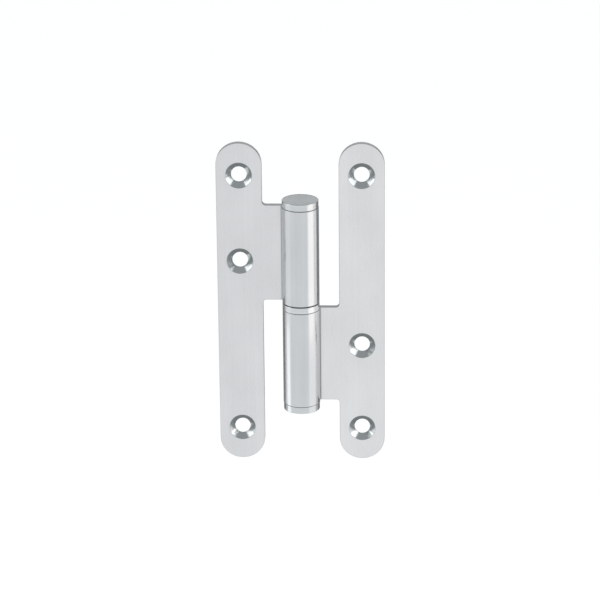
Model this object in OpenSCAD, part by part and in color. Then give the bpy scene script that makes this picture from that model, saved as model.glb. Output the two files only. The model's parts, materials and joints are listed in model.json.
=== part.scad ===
// Lift-off door hinge of the two-knuckle pattern: two formed sheet leaves with
// rolled knuckles, a stepped pin, a thrust ball bearing and two turned end caps.
// Origin: on the pin axis, half way up the leaves. +Z runs up the pin and the
// countersunk faces look towards -Y. The door leaf lies towards -X and carries
// the upper knuckle. The frame leaf lies towards +X and carries the lower one.

/* [Leaves] */
// Height of each leaf
leaf_h = 140; // [125:1:180]
// Width of the open hinge, from outer edge to outer edge
open_w = 69.8; // [66:0.1:90]
// Thickness of the sheet that both leaves are made of
sheet_t = 2.5; // [2.2:0.1:2.8]
// Width of the round-ended strip that carries the screws
strip_w = 19; // [16:0.1:21]
// Gap that stays between the leaves when the hinge is closed
closed_gap = 3.2; // [2.6:0.1:3.6]
// Radius of the inner corners between strip and tab
corner_r = 1.5; // [0.5:0.1:2]

/* [Screw holes] */
// Diameter of the screw holes
hole_d = 6.5; // [5:0.1:7]
// Diameter of the countersink at the leaf's face
csk_d = 11.1; // [10:0.1:11.4]
// Height of the end holes above and below the middle
end_hole_z = 56; // [48:0.5:58]

/* [Knuckles] */
// Outer diameter of the rolled knuckles
barrel_d = 15.5; // [15.2:0.1:17]
// Height of each knuckle
knuckle_h = 41.6; // [36:0.1:44]
// Inner radius of the bend where the sheet leaves the knuckle
bend_r = 2.75; // [2:0.05:4]
// Hairline gap between the rolled edge and the leaf
seam_gap = 0.2; // [0.1:0.05:0.3]

/* [Pin and bush] */
// Diameter of the upper, running half of the pin
pin_d = 9; // [8.5:0.1:9.2]
// Radial clearance between pin and bush, and between pin and upper race
run_clear = 0.05; // [0.02:0.01:0.1]
// Space left under each end cap's plug
plug_gap = 1.2; // [0.2:0.1:3]
// Bevel around the tip and the foot of the pin
pin_bevel = 1; // [0.3:0.1:1.5]

/* [Thrust bearing] */
// Height of the bearing, which holds the knuckles apart
ring_h = 3.2; // [3:0.1:3.6]
// Open gap above the shell, under the upper knuckle
shell_gap = 0.45; // [0.3:0.05:0.6]
// Wall thickness of the shell
shell_t = 0.65; // [0.5:0.05:0.8]
// Diameter of the balls
ball_d = 1.8; // [1.6:0.1:2]
// Number of balls
ball_count = 12; // [8:1:14]
// Space left around each ball
ball_clear = 0.03; // [0.02:0.01:0.05]

/* [End caps] */
// Diameter of the caps
cap_d = 15.2; // [14:0.1:16]
// Height of the caps beyond the knuckle
cap_h = 3.1; // [2:0.1:4]
// Rounding of the cap's outer edge
cap_round = 0.35; // [0.1:0.05:0.8]
// Depth that a cap's plug reaches into its knuckle
plug_h = 4.5; // [3:0.1:6]

/* [Hidden] */
$fn = 96;
ball_names = [for (i = [1:ball_count]) str("ball_", i)];

steel = [0.80, 0.81, 0.82];
turned_steel = [0.72, 0.73, 0.74];
bearing_steel = [0.62, 0.64, 0.67];
nylon = [0.93, 0.92, 0.88];

// How far a cutting tool runs past the face that it cuts.
cut = 1;
// How far pieces that fuse reach into each other.
hair = 0.02;
hair_angle = 0.5;

mid_hole_z = end_hole_z / 3;
strip_r = strip_w / 2;
strip_x = -(open_w / 2 - strip_r);
strip_edge_x = strip_x + strip_r;
front_y = closed_gap / 2;
back_y = front_y + sheet_t;
csk_depth = (csk_d - hole_d) / 2;

barrel_r = barrel_d / 2;
bore_r = barrel_r - sheet_t;
knuckle_end = ring_h / 2 + knuckle_h;

// The sheet leaves the rolled ring at roll_angle and swings back into the
// leaf's plane around bend_centre. Both arcs are tangent where they meet.
bend_mid_r = bend_r + sheet_t / 2;
roll_mid_r = barrel_r - sheet_t / 2;
bend_y = front_y + sheet_t / 2 + bend_mid_r;
bend_x = -sqrt(pow(roll_mid_r + bend_mid_r, 2) - pow(bend_y, 2));
bend_centre = [bend_x, bend_y];
roll_angle = atan2(bend_y, bend_x);
seam_y = front_y - seam_gap;
roll_corner = [seam_y / tan(roll_angle), seam_y];

pin_r = pin_d / 2;
running_bore_r = pin_r + run_clear;
shoulder_drop = 0.4;
pin_shoulder_z = -(ring_h / 2 + shoulder_drop);
foot_gap = 0.2;
pin_foot_z = -(knuckle_end - plug_h - foot_gap);
pin_tip_z = knuckle_end - plug_h - plug_gap;
bush_top_z = pin_tip_z + plug_gap / 2;

shell_top_z = ring_h / 2 - shell_gap;
shell_bore_r = barrel_r - shell_t;
lip_t = 0.3;
lip_w = 0.4;
lip_bore_r = shell_bore_r - lip_w;
ball_r = ball_d / 2;
pitch_r = (running_bore_r + shell_bore_r) / 2;
groove_r = ball_r + ball_clear;
race_face_z = 0.5;
race_slack = 0.1;
race_flange_z = shell_top_z - lip_t - race_slack;
cage_z = race_face_z - race_slack;
cage_slack = 0.15;
cage_bore_r = running_bore_r + cage_slack;
cage_rim_r = shell_bore_r - cage_slack;

function polar(r, a) = [r * cos(a), r * sin(a)];

// Fills the inner corner of the +X +Y quadrant with a concave radius.
module corner_fill(r) {
    difference() {
        translate([-cut, -cut]) square(r + cut);
        translate([r, r]) circle(r);
    }
}

// Outline of the flat part of a leaf, drawn with x across and y up the leaf.
module leaf_outline() {
    translate([strip_x, 0]) square([strip_w, leaf_h - strip_w], center = true);
    for (end = [-1, 1])
        translate([strip_x, end * (leaf_h / 2 - strip_r)]) circle(strip_r);
    translate([bend_x, ring_h / 2]) mirror([1, 0]) square([bend_x - strip_x, knuckle_h]);
    translate([strip_edge_x, knuckle_end]) corner_fill(corner_r);
    translate([strip_edge_x, ring_h / 2]) mirror([0, 1]) corner_fill(corner_r);
}

// Screw hole through the leaf, countersunk from the front.
module screw_hole(z) {
    translate([strip_x, back_y + cut, z]) rotate([90, 0, 0])
        cylinder(h = sheet_t + 2 * cut, d = hole_d);
    translate([strip_x, front_y + csk_depth, z]) rotate([90, 0, 0])
        cylinder(h = csk_depth + cut, d1 = hole_d, d2 = csk_d + 2 * cut);
}

// Cross-section of the rolled knuckle and of the bend that joins it to the leaf.
// The bend is a hair thinner than the sheet and reaches a hair into both of its
// neighbours, so that the three fuse into one solid.
module knuckle_section() {
    far = 2 * barrel_r;
    difference() {
        circle(barrel_r);
        circle(bore_r);
        polygon([roll_corner, polar(far, roll_angle), [-far, seam_y]]);
    }
    intersection() {
        translate(bend_centre) difference() {
            circle(bend_r + sheet_t - hair);
            circle(bend_r + hair);
        }
        polygon([
            bend_centre,
            bend_centre + polar(far, -90 - hair_angle),
            bend_centre + polar(far, roll_angle - 180 + hair_angle)]);
    }
}

// One leaf with its knuckle, as one piece of formed sheet.
module leaf() {
    color(steel) {
        difference() {
            translate([0, back_y, 0]) rotate([90, 0, 0])
                linear_extrude(height = sheet_t) leaf_outline();
            screw_hole(end_hole_z);
            screw_hole(mid_hole_z);
            screw_hole(-end_hole_z);
        }
        translate([0, 0, ring_h / 2])
            linear_extrude(height = knuckle_h) knuckle_section();
    }
}

module door_leaf() {
    leaf();
}

// The frame leaf is the same pressing, turned half round about Y.
module frame_leaf() {
    rotate([0, 180, 0]) leaf();
}

// Stepped pin: the thick foot is pressed into the frame knuckle.
module hinge_pin() {
    color(turned_steel) rotate_extrude() polygon([
        [0, pin_foot_z],
        [bore_r - pin_bevel, pin_foot_z],
        [bore_r, pin_foot_z + pin_bevel],
        [bore_r, pin_shoulder_z],
        [pin_r, pin_shoulder_z],
        [pin_r, pin_tip_z - pin_bevel],
        [pin_r - pin_bevel, pin_tip_z],
        [0, pin_tip_z]]);
}

// Bush pressed into the door knuckle, which turns on the pin.
module pivot_bush() {
    color(nylon) translate([0, 0, ring_h / 2]) difference() {
        cylinder(h = bush_top_z - ring_h / 2, r = bore_r);
        translate([0, 0, -cut])
            cylinder(h = bush_top_z - ring_h / 2 + 2 * cut, r = running_bore_r);
    }
}

// End cap standing on z = 0, with its plug below.
module end_cap() {
    cap_r = cap_d / 2;
    color(turned_steel) rotate_extrude() {
        square([cap_r - cap_round, cap_h]);
        square([cap_r, cap_h - cap_round]);
        translate([cap_r - cap_round, cap_h - cap_round]) circle(cap_round);
        translate([0, -plug_h]) square([bore_r, plug_h + cut]);
    }
}

module top_cap() {
    translate([0, 0, knuckle_end]) end_cap();
}

module bottom_cap() {
    translate([0, 0, -knuckle_end]) rotate([180, 0, 0]) end_cap();
}

// Shell of the thrust bearing, with a lip that keeps the upper race in.
module bearing_shell() {
    color(steel) rotate_extrude() {
        translate([shell_bore_r, -ring_h / 2])
            square([shell_t, shell_top_z + ring_h / 2]);
        translate([lip_bore_r, shell_top_z - lip_t])
            square([barrel_r - lip_bore_r, lip_t]);
    }
}

// Race pressed into the bottom of the shell, grooved on top.
module lower_race() {
    color(bearing_steel) rotate_extrude() difference() {
        translate([running_bore_r, -ring_h / 2])
            square([shell_bore_r - running_bore_r, ring_h / 2 - race_face_z]);
        translate([pitch_r, 0]) circle(groove_r);
    }
}

// Race that carries the door knuckle: its flange turns under the shell's lip.
module upper_race() {
    neck_r = lip_bore_r - race_slack;
    flange_r = shell_bore_r - race_slack;
    color(bearing_steel) rotate_extrude() difference() {
        union() {
            translate([running_bore_r, race_face_z])
                square([neck_r - running_bore_r, ring_h / 2 - race_face_z]);
            translate([running_bore_r, race_face_z])
                square([flange_r - running_bore_r, race_flange_z - race_face_z]);
        }
        translate([pitch_r, 0]) circle(groove_r);
    }
}

// Flat cage with one pocket for each ball.
module ball_cage() {
    color(nylon) difference() {
        translate([0, 0, -cage_z]) cylinder(h = 2 * cage_z, r = cage_rim_r);
        translate([0, 0, -cage_z - cut])
            cylinder(h = 2 * (cage_z + cut), r = cage_bore_r);
        for (i = [1:ball_count])
            translate([each polar(pitch_r, i * 360 / ball_count), -cage_z - cut])
                cylinder(h = 2 * (cage_z + cut), r = groove_r);
    }
}

module ball(i) {
    color(bearing_steel)
        translate([each polar(pitch_r, i * 360 / ball_count), 0]) sphere(r = ball_r);
}

door_leaf();
frame_leaf();
hinge_pin();
pivot_bush();
top_cap();
bottom_cap();
bearing_shell();
lower_race();
upper_race();
ball_cage();
for (i = [1:ball_count])
    ball(i);
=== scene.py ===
import json
import math

import bmesh
import bpy
import numpy as np
from mathutils import Matrix, Vector
from mathutils.geometry import tessellate_polygon


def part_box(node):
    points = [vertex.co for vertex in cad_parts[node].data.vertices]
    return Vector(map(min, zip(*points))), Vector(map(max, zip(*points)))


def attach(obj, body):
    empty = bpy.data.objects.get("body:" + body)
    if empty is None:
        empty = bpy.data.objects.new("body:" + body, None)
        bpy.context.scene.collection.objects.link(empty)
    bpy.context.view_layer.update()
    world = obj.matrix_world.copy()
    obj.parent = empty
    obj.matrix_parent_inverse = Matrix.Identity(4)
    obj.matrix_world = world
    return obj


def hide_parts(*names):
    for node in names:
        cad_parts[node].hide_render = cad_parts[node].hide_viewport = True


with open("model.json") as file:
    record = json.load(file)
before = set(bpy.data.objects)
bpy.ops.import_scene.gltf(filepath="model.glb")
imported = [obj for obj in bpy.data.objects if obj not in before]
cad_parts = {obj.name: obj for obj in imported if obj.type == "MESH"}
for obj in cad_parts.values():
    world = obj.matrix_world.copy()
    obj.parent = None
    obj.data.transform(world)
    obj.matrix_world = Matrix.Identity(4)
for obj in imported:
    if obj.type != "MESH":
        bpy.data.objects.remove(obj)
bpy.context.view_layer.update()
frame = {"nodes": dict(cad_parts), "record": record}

MM = 0.001


# ---------------------------------------------------------------- sizes

mounts = {mount["name"]: mount for mount in frame["record"]["mounts"]}
door_low, door_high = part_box("door_leaf")
top_cap_low, top_cap_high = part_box("top_cap")
bottom_cap_low, bottom_cap_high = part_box("bottom_cap")
shell_low, shell_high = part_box("bearing_shell")
pin_low, pin_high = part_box("hinge_pin")
bush_low, bush_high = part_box("pivot_bush")

# Sizes that the frame's boxes and mounts don't give
KNUCKLE_H = 41.6 * MM
CORNER_R = 1.5 * MM
BEND_R = 2.75 * MM
SEAM_GAP = 0.2 * MM
CSK_R = 5.55 * MM
PIN_R = 4.5 * MM
PIN_BEVEL = 1.0 * MM
SHOULDER_DROP = 0.4 * MM
RUN_CLEAR = 0.05 * MM
SHELL_T = 0.65 * MM
LIP_T = 0.3 * MM
LIP_W = 0.4 * MM

# Sizes worked out from the frame
BARREL_R = shell_high.x
BORE_R = pin_high.x
SHEET_T = BARREL_R - BORE_R
LEAF_H = door_high.z - door_low.z
BACK_Y = mounts["door_back"]["pos_m"][1]
FRONT_Y = BACK_Y - SHEET_T
STRIP_X = mounts["door_back"]["pos_m"][0]
STRIP_R = STRIP_X - door_low.x
HOLE_R = mounts["door_end_screws"]["dims"]["hole_r_mm"] * MM
END_HOLE_Z = mounts["door_end_screws"]["dims"]["spacing_y_mm"] * MM / 2
MID_HOLE_Z = END_HOLE_Z - mounts["door_mid_screws"]["dims"]["spacing_y_mm"] * MM
CSK_DEPTH = CSK_R - HOLE_R
KNUCKLE_LOW = -shell_low.z
KNUCKLE_HIGH = KNUCKLE_LOW + KNUCKLE_H
CAP_R = top_cap_high.x

# Rounding of the deburred sheet edges and of the small turned edges
EDGE_R = 0.2 * MM
RIM_R = 0.12 * MM

# Bevel where a screw hole leaves the back of a leaf
HOLE_BEVEL = 0.06 * MM

# Open seam under the caps and under the bearing shell
SEAM = 0.15 * MM

# The caps' end faces have shallow turned rings and a border that slopes down to the rim
CAP_ROUND = 0.2 * MM
BORDER_W = 1.3 * MM
BORDER_DROP = 0.1 * MM
TURNED_RINGS = 7
RING_DEPTH = 0.02 * MM

# The sheet's mid line runs flat to BEND_X, swings back round BEND_CENTRE, and then
# wraps the pin, tangent where the two arcs meet, until it closes on the leaf's face.
BEND_MID_R = BEND_R + SHEET_T / 2
ROLL_MID_R = BARREL_R - SHEET_T / 2
BEND_Y = FRONT_Y + SHEET_T / 2 + BEND_MID_R
BEND_X = -math.sqrt((ROLL_MID_R + BEND_MID_R) ** 2 - BEND_Y ** 2)
BEND_CENTRE = Vector((BEND_X, BEND_Y))
ROLL_ANGLE = math.atan2(BEND_Y, BEND_X)
BEND_TURN = ROLL_ANGLE - math.pi / 2
ROLL_START = BEND_X + BEND_MID_R * BEND_TURN
ROLL_TURN = ROLL_ANGLE + math.pi
ROLL_END = ROLL_START + ROLL_MID_R * ROLL_TURN


# ---------------------------------------------------------------- camera

# The camera points at the frame's origin. The lens shift is a share of the picture's width.
SENSOR_MM = 36
LENS_MM = 182.525
DISTANCE = 1.27099
AZIMUTH = math.radians(2.606)
ELEVATION = math.radians(20.111)
ROLL = math.radians(-0.549)
SHIFT = (-0.0017667, 0.008)


def add_camera():
    """A long lens, a little to the right of the pin and 20 degrees above it."""
    data = bpy.data.cameras.new("camera")
    data.sensor_width = SENSOR_MM
    data.lens = LENS_MM
    data.shift_x, data.shift_y = SHIFT
    data.clip_start, data.clip_end = 0.01, 50
    camera = bpy.data.objects.new("camera", data)
    bpy.context.scene.collection.objects.link(camera)
    across = math.cos(ELEVATION)
    back = Vector((math.sin(AZIMUTH) * across, -math.cos(AZIMUTH) * across, math.sin(ELEVATION)))
    level = Vector((math.cos(AZIMUTH), math.sin(AZIMUTH), 0))
    right = level * math.cos(ROLL) + back.cross(level) * math.sin(ROLL)
    turn = Matrix((right, back.cross(right), back)).transposed()
    camera.matrix_world = Matrix.Translation(back * DISTANCE) @ turn.to_4x4()
    bpy.context.scene.camera = camera


add_camera()


# ---------------------------------------------------------------- mesh helpers

def new_piece(name, points, faces, materials, face_slots=None):
    """A closed, smooth-shaded mesh object whose broad faces keep their own normals."""
    mesh = bpy.data.meshes.new(name)
    mesh.from_pydata([tuple(p) for p in points], [], faces)
    for material in materials:
        mesh.materials.append(material)
    if face_slots is not None:
        mesh.polygons.foreach_set("material_index", face_slots)
    mesh.polygons.foreach_set("use_smooth", [True] * len(faces))
    mesh.update()
    piece = bpy.data.objects.new(name, mesh)
    bpy.context.scene.collection.objects.link(piece)
    weighted = piece.modifiers.new("broad faces first", "WEIGHTED_NORMAL")
    weighted.mode = "FACE_AREA"
    weighted.weight = 100
    face_outwards(piece)
    return piece


def face_outwards(piece):
    """Makes all faces of a closed mesh look outwards."""
    work = bmesh.new()
    work.from_mesh(piece.data)
    bmesh.ops.recalc_face_normals(work, faces=work.faces)
    work.to_mesh(piece.data)
    work.free()


def store_vectors(piece, name, vectors):
    """Keeps one vector for each point, which a material can read."""
    layer = piece.data.attributes.new(name, "FLOAT_VECTOR", "POINT")
    layer.data.foreach_set("vector", np.array(vectors, np.float32).ravel())


def rounded(corners, closed=False, steps=4):
    """Points of an outline of (r, z, rounding) corners, with each rounding as an arc."""
    points = []
    count = len(corners)
    for i, (r, z, rounding) in enumerate(corners):
        here = Vector((r, z))
        if rounding == 0 or (not closed and i in (0, count - 1)):
            points.append(here)
            continue
        before = (Vector(corners[i - 1][:2]) - here).normalized()
        after = (Vector(corners[(i + 1) % count][:2]) - here).normalized()
        half = before.angle(after) / 2
        centre = here + (before + after).normalized() * rounding / math.sin(half)
        start = here + before * rounding / math.tan(half) - centre
        end = here + after * rounding / math.tan(half) - centre
        sweep = start.angle_signed(end)
        for k in range(steps + 1):
            a = -sweep * k / steps
            turned = Vector((
                start.x * math.cos(a) - start.y * math.sin(a),
                start.x * math.sin(a) + start.y * math.cos(a)))
            points.append(centre + turned)
    return points


def lathe(name, outline, material, closed=False, segments=144):
    """Turns an outline of (r, z) points about the pin axis. One that isn't closed ends on the axis."""
    points, rings, faces = [], [], []
    for r, z in outline:
        if r == 0:
            rings.append([len(points)] * segments)
            points.append((0, 0, z))
            continue
        rings.append(list(range(len(points), len(points) + segments)))
        for k in range(segments):
            a = 2 * math.pi * k / segments
            points.append((r * math.cos(a), r * math.sin(a), z))
    pairs = list(zip(rings, rings[1:]))
    if closed:
        pairs.append((rings[-1], rings[0]))
    for one, two in pairs:
        for k in range(segments):
            n = (k + 1) % segments
            corners = [one[k], one[n], two[n], two[k]]
            faces.append([c for i, c in enumerate(corners) if c not in corners[:i]])
    return new_piece(name, points, faces, [material])


# ---------------------------------------------------------------- material helpers

class Shader:
    """A Principled material and short ways to add nodes to it."""

    def __init__(self, name, metallic, **sockets):
        self.material = bpy.data.materials.new(name)
        self.material.use_nodes = True
        self.tree = self.material.node_tree
        self.bsdf = self.tree.nodes["Principled BSDF"]
        self.bsdf.inputs["Metallic"].default_value = metallic
        for socket, value in sockets.items():
            self.bsdf.inputs[socket.replace("_", " ")].default_value = value

    def link(self, source, target):
        self.tree.links.new(source, target)

    def node(self, kind, **settings):
        made = self.tree.nodes.new(kind)
        for key, value in settings.items():
            setattr(made, key, value)
        return made

    def math(self, operation, a, b=0.0):
        made = self.node("ShaderNodeMath", operation=operation)
        for socket, value in zip(made.inputs, (a, b)):
            if isinstance(value, (int, float)):
                socket.default_value = value
            else:
                self.link(value, socket)
        return made.outputs[0]

    def stored(self, name):
        """A vector that store_vectors kept for each point."""
        return self.node("ShaderNodeAttribute", attribute_name=name).outputs["Vector"]

    def place(self):
        """Where the point is on the piece, in metres."""
        return self.node("ShaderNodeTexCoord").outputs["Object"]

    def noise(self, vector, scale, detail=3.0, roughness=0.6):
        """Noise with scale cells to the metre along each of the vector's axes."""
        scaled = self.node("ShaderNodeVectorMath", operation="MULTIPLY")
        scaled.inputs[1].default_value = scale
        self.link(vector, scaled.inputs[0])
        made = self.node("ShaderNodeTexNoise")
        made.inputs["Scale"].default_value = 1.0
        made.inputs["Detail"].default_value = detail
        made.inputs["Roughness"].default_value = roughness
        self.link(scaled.outputs[0], made.inputs["Vector"])
        return made.outputs["Fac"]

    def ranged(self, value, start, end, low, high, curve="LINEAR"):
        """Maps the range start to end onto the range low to high."""
        made = self.node("ShaderNodeMapRange", interpolation_type=curve)
        names = ("From Min", "From Max", "To Min", "To Max")
        for socket, number in zip(names, (start, end, low, high)):
            made.inputs[socket].default_value = number
        self.link(value, made.inputs["Value"])
        return made.outputs["Result"]

    def between(self, factor, low, high):
        """Maps noise, most of which lies from 0.3 to 0.7, to the range low to high."""
        return self.ranged(factor, 0.3, 0.7, low, high)

    def fade(self, value, start, end, low):
        """Falls smoothly from 1 at start to low at end."""
        return self.ranged(value, start, end, 1.0, low, "SMOOTHSTEP")

    def tinted(self, tint, factor):
        """Base colour: the tint, times a grey factor that varies over the surface."""
        made = self.node("ShaderNodeVectorMath", operation="SCALE")
        made.inputs[0].default_value = tint
        self.link(factor, made.inputs["Scale"])
        self.link(made.outputs[0], self.bsdf.inputs["Base Color"])

    def rough(self, value):
        self.link(value, self.bsdf.inputs["Roughness"])

    def bump(self, height, distance):
        made = self.node("ShaderNodeBump")
        made.inputs["Strength"].default_value = 1.0
        made.inputs["Distance"].default_value = distance
        self.link(height, made.inputs["Height"])
        self.link(made.outputs["Normal"], self.bsdf.inputs["Normal"])

    def around_axis(self):
        """The distance of a point from the pin axis, and (that distance, height, 0), in metres."""
        split = self.node("ShaderNodeSeparateXYZ")
        self.link(self.place(), split.inputs[0])
        x, y, z = split.outputs
        squares = self.math("ADD", self.math("MULTIPLY", x, x), self.math("MULTIPLY", y, y))
        radius = self.math("SQRT", squares)
        joined = self.node("ShaderNodeCombineXYZ")
        self.link(radius, joined.inputs[0])
        self.link(z, joined.inputs[1])
        return radius, joined.outputs[0]


# ---------------------------------------------------------------- materials

# Noise scales of the sheet, in cells to the metre across the leaf, through it and up it
GRAIN = (9000, 9000, 90)
STREAKS = (900, 900, 9)
CLOUDS = (45, 45, 30)
SHEAR_MARKS = (4000, 700, 4000)

# The grain's share of a streak's tone and height, and how far it changes the roughness
GRAIN_TONE = 0.4
GRAIN_HEIGHT = 0.25
GRAIN_ROUGHNESS = 0.05

# How far the uneven polish changes the tone and the roughness
CLOUD_TONE = 0.045
CLOUD_ROUGHNESS = 0.02

# Painted shade, with some grime, in the crease where the roll closes on the leaf: how far before its end the
# roll, or the flat, starts to darken, how far before it is darkest, and the share of light that is left
# there.
ROLL_SHADE_AND_GRIME = (0.35 * MM, 0.05 * MM, 0.5)
LEAF_SHADE_AND_GRIME = (0.45 * MM, 0.05 * MM, 0.55)

# Distance from one feed mark of the turning tool to the next, and the noise scale of the patches
# in which the marks fade
FEED_PITCH = 0.95 * MM
FEED_PATCHES = (400, 400, 0)


def crease_shade_and_grime(s, flat):
    """1 on open sheet, and darker where the rolled edge closes on the leaf's front: painted shade, with some
    grime.
    """
    split = s.node("ShaderNodeSeparateXYZ")
    s.link(flat, split.inputs[0])
    along, depth, _ = split.outputs
    start, darkest, light = ROLL_SHADE_AND_GRIME
    rolled_edge = s.fade(along, ROLL_END - start, ROLL_END - darkest, light)
    start, darkest, light = LEAF_SHADE_AND_GRIME
    near_leaf = s.fade(along, BEND_X - start, BEND_X - darkest, light)
    back = s.math("GREATER_THAN", depth, 0.0)
    past_bend = s.math("GREATER_THAN", along, ROLL_START)
    no_crease_shade = s.math("MAXIMUM", back, past_bend)
    return s.math("MULTIPLY", rolled_edge, s.math("MAXIMUM", near_leaf, no_crease_shade))


def brushed_sheet(name, tint, roughness, streak, depth):
    """Satin sheet: fine grain and broad streaks up the leaf, and a faint uneven polish."""
    s = Shader(name, 1.0)
    flat = s.stored("flat")
    fine = s.noise(flat, GRAIN, detail=2.0)
    broad = s.noise(flat, STREAKS)
    cloud = s.noise(flat, CLOUDS, detail=2.0)
    grain = s.between(fine, -GRAIN_TONE * streak, GRAIN_TONE * streak)
    tone = s.math("ADD", grain, s.between(broad, 1 - streak, 1 + streak))
    tone = s.math("ADD", tone, s.between(cloud, -CLOUD_TONE, CLOUD_TONE))
    # The tone is multiplied by the painted crease shade, with some grime.
    s.tinted(tint, s.math("MULTIPLY", tone, crease_shade_and_grime(s, flat)))
    satin = s.between(fine, roughness - GRAIN_ROUGHNESS, roughness + GRAIN_ROUGHNESS)
    s.rough(s.math("ADD", satin, s.between(cloud, -CLOUD_ROUGHNESS, CLOUD_ROUGHNESS)))
    height = s.math("ADD", s.math("MULTIPLY", fine, GRAIN_HEIGHT), s.math("ADD", broad, cloud))
    s.bump(height, depth)
    return s.material


def sheared_edge():
    """Edge of the blank: sheared across the thickness, then tumbled."""
    s = Shader("sheared_edge", 1.0)
    marks = s.noise(s.stored("flat"), SHEAR_MARKS, detail=2.0)
    s.tinted((0.52, 0.525, 0.53), s.between(marks, 0.92, 1.06))
    s.rough(s.between(marks, 0.32, 0.42))
    s.bump(marks, 0.01 * MM)
    return s.material


def turned_steel(name, tint, roughness, lines, depth, feed=0.03):
    """Turned steel: fine rings on end faces, fine grooves round the sides, and feed marks on end faces."""
    s = Shader(name, 1.0, Anisotropic=0.4)
    tangent = s.node("ShaderNodeTangent", direction_type="RADIAL", axis="Z")
    s.link(tangent.outputs[0], s.bsdf.inputs["Tangent"])
    radius, place = s.around_axis()
    rings = s.noise(place, (lines, lines, 0), roughness=0.7)
    strength = s.between(s.noise(place, FEED_PATCHES, detail=2.0), 0.0, 2 * feed)
    marks = s.math("SINE", s.math("MULTIPLY", radius, 2 * math.pi / FEED_PITCH))
    s.tinted(tint, s.math("ADD", s.between(rings, 0.93, 1.05), s.math("MULTIPLY", marks, strength)))
    s.rough(s.between(rings, roughness - 0.06, roughness + 0.06))
    s.bump(rings, depth)
    return s.material


def countersink_steel():
    """Cone cut by a countersink bit, with chatter rings round the hole."""
    s = Shader("countersink", 1.0)
    rings = s.noise(s.stored("ring"), (5000, 5000, 0), roughness=0.7)
    s.tinted((0.49, 0.515, 0.52), s.between(rings, 0.9, 1.06))
    s.rough(s.between(rings, 0.12, 0.22))
    s.bump(rings, 0.008 * MM)
    return s.material


def nylon():
    """Natural nylon: waxy, a little mottled, and slightly translucent."""
    s = Shader("nylon", 0.0, Subsurface_Weight=0.15, Subsurface_Scale=0.001)
    mottle = s.noise(s.place(), (600, 600, 600), detail=4.0)
    s.tinted((0.80, 0.78, 0.70), s.between(mottle, 0.93, 1.04))
    s.rough(s.between(mottle, 0.36, 0.5))
    s.bump(mottle, 0.01 * MM)
    return s.material


def polished_ball():
    """Lapped bearing ball with a light film of grease."""
    s = Shader("polished_ball", 1.0, Coat_Weight=0.3, Coat_Roughness=0.15)
    film = s.noise(s.place(), (1500, 1500, 1500))
    s.tinted((0.66, 0.67, 0.69), s.between(film, 0.95, 1.03))
    s.rough(s.between(film, 0.05, 0.12))
    return s.material


DOOR_STEEL = brushed_sheet(
    "door_leaf_steel", (0.655, 0.658, 0.67), roughness=0.30, streak=0.013, depth=0.0014 * MM)
# The frame leaf's tint is lighter than the door leaf's: a painted lighter tone for the stronger light on
# that leaf.
LIT_FRAME_STEEL = brushed_sheet(
    "frame_leaf_steel_painted_lighter", (0.69, 0.69, 0.70), roughness=0.30, streak=0.013, depth=0.0014 * MM)
ROLL_STEEL = brushed_sheet(
    "rolled_steel", (0.57, 0.582, 0.597), roughness=0.19, streak=0.025, depth=0.0025 * MM)
EDGE_STEEL = sheared_edge()
CSK_STEEL = countersink_steel()
CAP_STEEL = turned_steel(
    "cap_steel", (0.58, 0.60, 0.61), roughness=0.18, lines=6000, depth=0.004 * MM, feed=0.1)
SHELL_STEEL = turned_steel(
    "shell_steel", (0.59, 0.605, 0.615), roughness=0.17, lines=5000, depth=0.002 * MM)
PIN_STEEL = turned_steel(
    "pin_steel", (0.58, 0.59, 0.60), roughness=0.20, lines=7000, depth=0.003 * MM)
RACE_STEEL = turned_steel(
    "race_steel", (0.34, 0.345, 0.36), roughness=0.22, lines=7000, depth=0.003 * MM)
NYLON = nylon()
BALL_STEEL = polished_ball()


# ---------------------------------------------------------------- leaves

# How finely the bend, the roll, the corners, the strip's ends, the edges and the holes are meshed
BEND_COLUMNS = 12
ROLL_COLUMNS = 110
COLUMNS = BEND_COLUMNS + ROLL_COLUMNS
CORNER_STEPS = 8
END_STEPS = 72
EDGE_STEPS = 4
HOLE_STEPS = 96

# Narrow flat border inside each rounded edge, which keeps the shading of the broad face even
FLAT_RIM = 0.3 * MM

# Material slots of a leaf
FACE, ROLLED, EDGE, CONE = range(4)


class Blank:
    """A leaf before it is formed: s runs across it, z up it, and depth from the mid line to the back."""

    def __init__(self):
        self.flat, self.rings, self.faces, self.slots = [], [], [], []

    def point(self, s, z, depth, ring=(0, 0, 0)):
        self.flat.append((s, depth, z))
        self.rings.append(ring)
        return len(self.flat) - 1

    def face(self, corners, slot):
        self.faces.append(corners)
        self.slots.append(slot)


def formed(s, depth, z):
    """Where a point of the flat blank goes when the leaf is formed."""
    if s <= BEND_X:
        return Vector((s, FRONT_Y + SHEET_T / 2 + depth, z))
    if s <= ROLL_START:
        a = (s - BEND_X) / BEND_MID_R - math.pi / 2
        r = BEND_MID_R - depth
        return Vector((BEND_CENTRE.x + r * math.cos(a), BEND_CENTRE.y + r * math.sin(a), z))
    r = ROLL_MID_R + depth
    closing = math.asin((FRONT_Y - SEAM_GAP) / r)
    a = ROLL_ANGLE - (ROLL_TURN + closing) * (s - ROLL_START) / (ROLL_END - ROLL_START)
    return Vector((r * math.cos(a), r * math.sin(a), z))


def outline_arc(s, z, r, start, end, inward, steps):
    """An arc of the blank's edge: (s, z, direction into the sheet) for each point.

    The sheet lies outside the arc where inward is 1, and inside it where inward is -1.
    """
    made = []
    for k in range(steps + 1):
        a = math.radians(start + (end - start) * k / steps)
        out = Vector((math.cos(a), math.sin(a)))
        made.append((s + r * out.x, z + r * out.y, out * inward))
    return made


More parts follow.
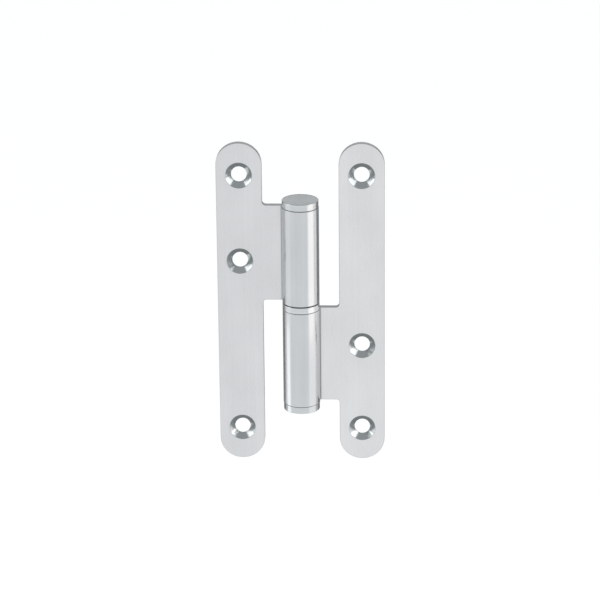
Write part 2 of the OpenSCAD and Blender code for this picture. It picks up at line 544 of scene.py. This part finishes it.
def blank_outline():
    """The blank's edge, clockwise from the roll's lower corner, with the columns of the roll."""
    bend = [BEND_X + (ROLL_START - BEND_X) * k / BEND_COLUMNS for k in range(BEND_COLUMNS)]
    roll = [ROLL_START + (ROLL_END - ROLL_START) * k / ROLL_COLUMNS for k in range(ROLL_COLUMNS + 1)]
    columns = bend + roll
    below = [(s, KNUCKLE_LOW, Vector((0, 1))) for s in reversed(columns)]
    above = [(s, KNUCKLE_HIGH, Vector((0, -1))) for s in columns]
    below[0] = (ROLL_END, KNUCKLE_LOW, Vector((-1, 1)))
    above[-1] = (ROLL_END, KNUCKLE_HIGH, Vector((-1, -1)))
    corner_s = STRIP_X + STRIP_R + CORNER_R
    end_z = LEAF_H / 2 - STRIP_R
    return (
        below
        + outline_arc(corner_s, KNUCKLE_LOW - CORNER_R, CORNER_R, 90, 180, 1, CORNER_STEPS)
        + outline_arc(STRIP_X, -end_z, STRIP_R, 0, -180, -1, END_STEPS)
        + outline_arc(STRIP_X, end_z, STRIP_R, 180, 0, -1, END_STEPS)
        + outline_arc(corner_s, KNUCKLE_HIGH + CORNER_R, CORNER_R, 180, 270, 1, CORNER_STEPS)
        + above)


def edge_rows():
    """(inset, depth) of the rows round a rounded edge, from the front face to the back."""
    front = [(EDGE_R + FLAT_RIM, -SHEET_T / 2)]
    for k in range(EDGE_STEPS + 1):
        a = math.pi / 2 * k / EDGE_STEPS
        front.append((EDGE_R * (1 - math.sin(a)), -SHEET_T / 2 + EDGE_R * (1 - math.cos(a))))
    return front + [(inset, -depth) for inset, depth in reversed(front)]


def hole_rows():
    """(radius, depth) of the rows down a countersunk hole, with a softened rim, from front to back."""
    front = -SHEET_T / 2
    return [
        (CSK_R + RIM_R + FLAT_RIM, front),
        (CSK_R + RIM_R, front),
        (CSK_R + 0.12 * RIM_R, front + 0.17 * RIM_R),
        (CSK_R - 0.7 * RIM_R, front + 0.7 * RIM_R),
        (HOLE_R, front + CSK_DEPTH),
        (HOLE_R, -front - HOLE_BEVEL),
        (HOLE_R + HOLE_BEVEL, -front),
        (HOLE_R + HOLE_BEVEL + FLAT_RIM, -front)]


def add_edge(blank):
    """The blank's rounded edge. Gives the rows of points where it meets the front and the back."""
    outline = blank_outline()
    count = len(outline)
    rows = []
    for inset, depth in edge_rows():
        rows.append([blank.point(s + inset * n.x, z + inset * n.y, depth) for s, z, n in outline])
    for one, two in zip(rows, rows[1:]):
        on_face = one is rows[0] or two is rows[-1]
        for i in range(count):
            n = (i + 1) % count
            face_slot = FACE if COLUMNS <= i < count - COLUMNS - 1 else ROLLED
            blank.face([one[i], one[n], two[n], two[i]], face_slot if on_face else EDGE)
    return rows[0], rows[-1]


def add_knuckle(blank, row):
    """The broad face of the bend and the roll, one face to a column."""
    for c in range(COLUMNS):
        low, high = COLUMNS - c, len(row) - 1 - COLUMNS + c
        blank.face([row[low], row[low - 1], row[high + 1], row[high]], ROLLED)


def add_hole(blank, hole_z):
    """A countersunk screw hole. Gives its rims on the front and the back."""
    rows = []
    for radius, depth in hole_rows():
        row = []
        for k in range(HOLE_STEPS):
            a = 2 * math.pi * k / HOLE_STEPS
            s, z = STRIP_X + radius * math.cos(a), hole_z + radius * math.sin(a)
            row.append(blank.point(s, z, depth, (radius, depth, 0)))
        rows.append(row)
    for one, two in zip(rows, rows[1:]):
        on_face = one is rows[0] or two is rows[-1]
        for k in range(HOLE_STEPS):
            n = (k + 1) % HOLE_STEPS
            blank.face([one[k], one[n], two[n], two[k]], FACE if on_face else CONE)
    return rows[0], rows[-1]


def add_flat(blank, row, rims):
    """The broad flat face between the edge and the rims of the holes."""
    loops = [row[COLUMNS:len(row) - COLUMNS]] + rims
    order = [i for loop in loops for i in loop]
    flat_loops = [[Vector((blank.flat[i][0], blank.flat[i][2], 0)) for i in loop] for loop in loops]
    for triangle in tessellate_polygon(flat_loops):
        blank.face([order[i] for i in triangle], FACE)


def leaf(name, face_steel, turned):
    """One leaf with its rolled knuckle, meshed flat and then formed. The frame leaf is turned half round."""
    blank = Blank()
    sides = add_edge(blank)
    for row in sides:
        add_knuckle(blank, row)
    holes = [add_hole(blank, hole_z) for hole_z in (END_HOLE_Z, MID_HOLE_Z, -END_HOLE_Z)]
    for row, rims in zip(sides, zip(*holes)):
        add_flat(blank, row, list(rims))
    places = [formed(*point) for point in blank.flat]
    if turned:
        places = [Vector((-p.x, p.y, -p.z)) for p in places]
    materials = [face_steel, ROLL_STEEL, EDGE_STEEL, CSK_STEEL]
    piece = new_piece(name, places, blank.faces, materials, blank.slots)
    store_vectors(piece, "flat", blank.flat)
    store_vectors(piece, "ring", blank.rings)
    return piece


# ---------------------------------------------------------------- turned pieces

# Outline steps of a cap to each turned ring and to each rounded corner, and the plug's rounding
RING_STEPS = 8
RIM_STEPS = 8
PLUG_ROUND = 0.4 * MM


def end_cap(name, outer_z, seat_z, plug_z, way):
    """Cap with a rounded outer edge and a plug. Way is 1 for the top cap and -1 for the bottom one."""
    corners = []
    steps = RING_STEPS * TURNED_RINGS
    for k in range(steps + 1):
        share = k / steps
        groove = RING_DEPTH * (1 - math.cos(2 * math.pi * TURNED_RINGS * share)) / 2
        corners.append((share * (CAP_R - BORDER_W), outer_z - way * groove, 0))
    corners += [
        (CAP_R, outer_z - way * BORDER_DROP, CAP_ROUND),
        (CAP_R, seat_z + way * SEAM, RIM_R),
        (BORE_R, seat_z + way * SEAM, 0),
        (BORE_R, plug_z, PLUG_ROUND),
        (0, plug_z, 0)]
    return lathe(name, rounded(corners, steps=RIM_STEPS), CAP_STEEL)


def stepped_pin():
    """Pin with bevelled tip and foot."""
    shoulder = -KNUCKLE_LOW - SHOULDER_DROP
    corners = [
        (0, pin_low.z, 0),
        (BORE_R - PIN_BEVEL, pin_low.z, 0.1 * MM),
        (BORE_R, pin_low.z + PIN_BEVEL, 0.1 * MM),
        (BORE_R, shoulder, 0.15 * MM),
        (PIN_R, shoulder, 0),
        (PIN_R, pin_high.z - PIN_BEVEL, 0.25 * MM),
        (PIN_R - PIN_BEVEL, pin_high.z, 0.25 * MM),
        (0, pin_high.z, 0)]
    return lathe("pin", rounded(corners), PIN_STEEL)


def bush():
    """Bush that lines the door knuckle."""
    inner = PIN_R + RUN_CLEAR
    corners = [
        (inner, bush_low.z, 0.2 * MM),
        (BORE_R, bush_low.z, 0.1 * MM),
        (BORE_R, bush_high.z, 0.1 * MM),
        (inner, bush_high.z, 0.2 * MM)]
    return lathe("bush", rounded(corners, closed=True), NYLON, closed=True)


def shell():
    """Shell of the thrust bearing, with its in-turned lip."""
    bore = BARREL_R - SHELL_T
    lip_bore = bore - LIP_W
    corners = [
        (bore, shell_low.z + SEAM, 0),
        (BARREL_R, shell_low.z + SEAM, RIM_R),
        (BARREL_R, shell_high.z, 0.22 * MM),
        (lip_bore, shell_high.z, 0.1 * MM),
        (lip_bore, shell_high.z - LIP_T, 0.05 * MM),
        (bore, shell_high.z - LIP_T, 0)]
    return lathe("shell", rounded(corners, closed=True), SHELL_STEEL, closed=True)


door_sheet = leaf("door_sheet", DOOR_STEEL, False)
frame_sheet = leaf("frame_sheet", LIT_FRAME_STEEL, True)
top = end_cap("turned_top_cap", top_cap_high.z, KNUCKLE_HIGH, top_cap_low.z, 1)
bottom = end_cap("turned_bottom_cap", bottom_cap_low.z, -KNUCKLE_HIGH, bottom_cap_high.z, -1)
pin = stepped_pin()
liner = bush()
bearing = shell()

for piece, node, body, slot in (
        (door_sheet, "door_leaf", "door", "leaf_steel"),
        (frame_sheet, "frame_leaf", "frame", "leaf_steel"),
        (top, "top_cap", "door", "turned_steel"),
        (bottom, "bottom_cap", "frame", "turned_steel"),
        (pin, "hinge_pin", "frame", "pin_steel"),
        (liner, "pivot_bush", "door", "nylon"),
        (bearing, "bearing_shell", "frame", "shell_steel")):
    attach(piece, body)
    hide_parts(node)


# ---------------------------------------------------------------- pieces kept from the frame

SHARP_ANGLE = math.radians(40)


def finish_node(node, material, edge=0):
    """Gives a CAD node a finished material, and rounds its sharp edges where edge isn't 0."""
    piece = frame["nodes"][node]
    piece.data.materials.clear()
    piece.data.materials.append(material)
    if edge:
        bevel = piece.modifiers.new("broken edges", "BEVEL")
        bevel.width = edge
        bevel.segments = 2
        bevel.limit_method = "ANGLE"
        bevel.angle_limit = SHARP_ANGLE


for node in ("lower_race", "upper_race"):
    finish_node(node, RACE_STEEL, 0.06 * MM)
finish_node("ball_cage", NYLON, 0.04 * MM)
for node in frame["nodes"]:
    if node.startswith("ball_") and node != "ball_cage":
        finish_node(node, BALL_STEEL)


# ---------------------------------------------------------------- floor, world and lights

FLOOR_Z = -0.3
FLOOR_SIDE = 6.0
FLOOR_GREY = 0.85
FLOOR_GLOW = 0.5

# Height from 0 at the horizon to 1 overhead, and grey, of the horizon, the wall and the ceiling
SKY = (
    (0.0, (1, 1, 1, 1)),
    (0.34, (0.68, 0.69, 0.70, 1)),
    (0.72, (0.5, 0.52, 0.53, 1)))

# Flags are dark cards that only reflections see. A curved one stands round the pin, from one
# azimuth to another and from a lower to an upper height.
FLAG_DISTANCE = 0.45
FLAG_STEPS = 12
CURVED_FLAGS = (
    ("right_flag", 110, 170, -0.28, -0.05),
    ("left_flag", -120, -170, -0.28, -0.05),
    ("back_flag", 125, 235, -0.04, 0.15))
CURVED_GREY = 0.32
LOWER_GREY = 0.45

# Each soft light has an azimuth, a distance from the pin, a lower and an upper height, the angle
# that it spans seen from the pin, its radiance and its tint. Azimuth 0 is straight in front.
WHITE = (1, 1, 1)
WARM = (1.12, 1.0, 0.92)
SOFT_LIGHTS = (
    ("right_box", 75, 0.5, 0.02, 0.5, 24, 1.5, WHITE),
    ("left_box", -78, 0.5, 0.02, 0.5, 24, 1.5, WHITE),
    ("right_strip", 69, 0.12, -0.055, 0.02, 42, 0.55, WARM),
    ("right_fill", 76, 0.12, -0.12, -0.055, 56, 0.26, WARM),
    ("left_strip", -84, 0.12, -0.11, -0.05, 26, 0.6, WHITE),
    ("left_fill", -90, 0.12, -0.05, 0.02, 60, 0.1, WHITE))


def plain_object(name, points, faces):
    """A mesh object that isn't part of the hinge."""
    mesh = bpy.data.meshes.new(name)
    mesh.from_pydata(points, [], faces)
    made = bpy.data.objects.new(name, mesh)
    bpy.context.scene.collection.objects.link(made)
    return made


def add_floor():
    """A plain pale floor, well below the hinge."""
    corners = [(x * FLOOR_SIDE, y * FLOOR_SIDE, FLOOR_Z) for x, y in ((-1, -1), (1, -1), (1, 1), (-1, 1))]
    floor = plain_object("floor", corners, [(0, 1, 2, 3)])
    s = Shader("pale_floor", 0.0, Roughness=0.9)
    s.bsdf.inputs["Base Color"].default_value = (FLOOR_GREY, FLOOR_GREY, FLOOR_GREY, 1)
    s.bsdf.inputs["Emission Color"].default_value = (1, 1, 1, 1)
    s.bsdf.inputs["Emission Strength"].default_value = FLOOR_GLOW
    floor.data.materials.append(s.material)


def add_world():
    """A white horizon that darkens towards the ceiling."""
    world = bpy.data.worlds.new("studio")
    world.use_nodes = True
    tree = world.node_tree
    place = tree.nodes.new("ShaderNodeTexCoord")
    split = tree.nodes.new("ShaderNodeSeparateXYZ")
    ramp = tree.nodes.new("ShaderNodeValToRGB")
    tree.links.new(place.outputs["Generated"], split.inputs[0])
    tree.links.new(split.outputs["Z"], ramp.inputs["Fac"])
    tree.links.new(ramp.outputs["Color"], tree.nodes["Background"].inputs["Color"])
    stops = ramp.color_ramp.elements
    horizon, wall, ceiling = SKY
    stops[0].position, stops[0].color = horizon
    stops[1].position, stops[1].color = ceiling
    stops.new(wall[0]).color = wall[1]
    bpy.context.scene.world = world


def add_flag(name, points, faces, grey):
    """A dark card that only reflections see."""
    flag = plain_object(name, points, faces)
    s = Shader(name + "_cloth", 0.0, Roughness=0.9)
    s.bsdf.inputs["Base Color"].default_value = (grey, grey, grey, 1)
    flag.data.materials.append(s.material)
    flag.visible_camera = False
    flag.visible_diffuse = False
    flag.visible_shadow = False


def add_lower_flag():
    """A level card under the hinge and a little behind it, which darkens the countersinks."""
    side, front, back, level = 0.2, 0.02, 0.16, -0.2
    corners = [(-side, front, level), (side, front, level), (side, back, level), (-side, back, level)]
    add_flag("lower_flag", corners, [(0, 1, 2, 3)], LOWER_GREY)


def add_curved_flag(name, start, end, low, high):
    """An upright card that bends round the pin, from the start azimuth to the end one."""
    points, faces = [], []
    for k in range(FLAG_STEPS + 1):
        a = math.radians(start + (end - start) * k / FLAG_STEPS)
        x, y = math.sin(a) * FLAG_DISTANCE, -math.cos(a) * FLAG_DISTANCE
        points += [(x, y, low), (x, y, high)]
        if k:
            n = 2 * k
            faces.append((n - 2, n, n + 1, n - 1))
    add_flag(name, points, faces, CURVED_GREY)


def add_soft_light(name, azimuth, distance, low, high, spread, radiance, tint):
    """An upright rectangle of light that faces the pin."""
    data = bpy.data.lights.new(name, "AREA")
    data.shape = "RECTANGLE"
    data.size = 2 * distance * math.tan(math.radians(spread / 2))
    data.size_y = high - low
    data.energy = radiance * math.pi * data.size * data.size_y
    data.color = tint
    light = bpy.data.objects.new(name, data)
    a = math.radians(azimuth)
    place = Vector((math.sin(a) * distance, -math.cos(a) * distance, (low + high) / 2))
    light.location = place
    light.rotation_euler = Vector((-place.x, -place.y, 0)).to_track_quat("-Z", "Y").to_euler()
    light.visible_camera = False
    bpy.context.scene.collection.objects.link(light)


add_floor()
add_world()
add_lower_flag()
for flag in CURVED_FLAGS:
    add_curved_flag(*flag)
for light in SOFT_LIGHTS:
    add_soft_light(*light)

bpy.context.scene.view_settings.view_transform = "Standard"
